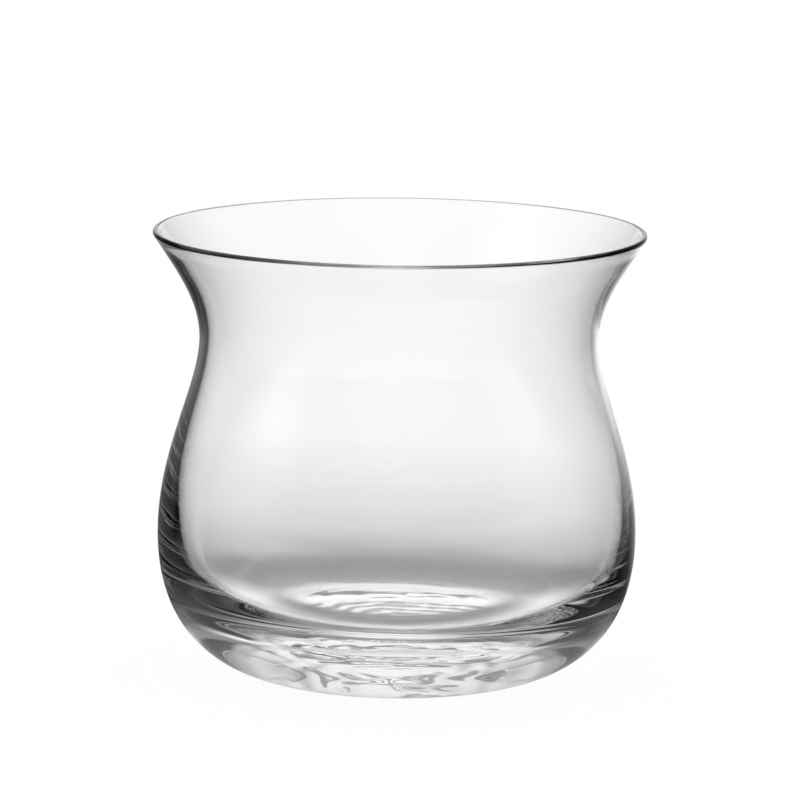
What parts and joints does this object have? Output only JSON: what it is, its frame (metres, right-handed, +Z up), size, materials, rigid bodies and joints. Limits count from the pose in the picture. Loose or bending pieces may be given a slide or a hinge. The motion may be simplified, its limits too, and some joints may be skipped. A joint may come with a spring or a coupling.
{
  "type": "glass coffee cup",
  "caption": "Handleless clear glass coffee cup with a flared lip, a drawn-in waist, a full belly and a thick heavy base.",
  "frame": {"origin": "middle of the foot, on the table that the cup stands on", "axes": "+Z up along the axis of the cup, out through its mouth; the cup is round, so +X and +Y are free"},
  "size_m": [0.085, 0.085, 0.0772],
  "materials": {
    "clear_glass": "clear, fire-polished, smooth"
  },
  "bodies": {
    "root": {"glass_cup": "clear_glass"}
  },
  "joints": []
}
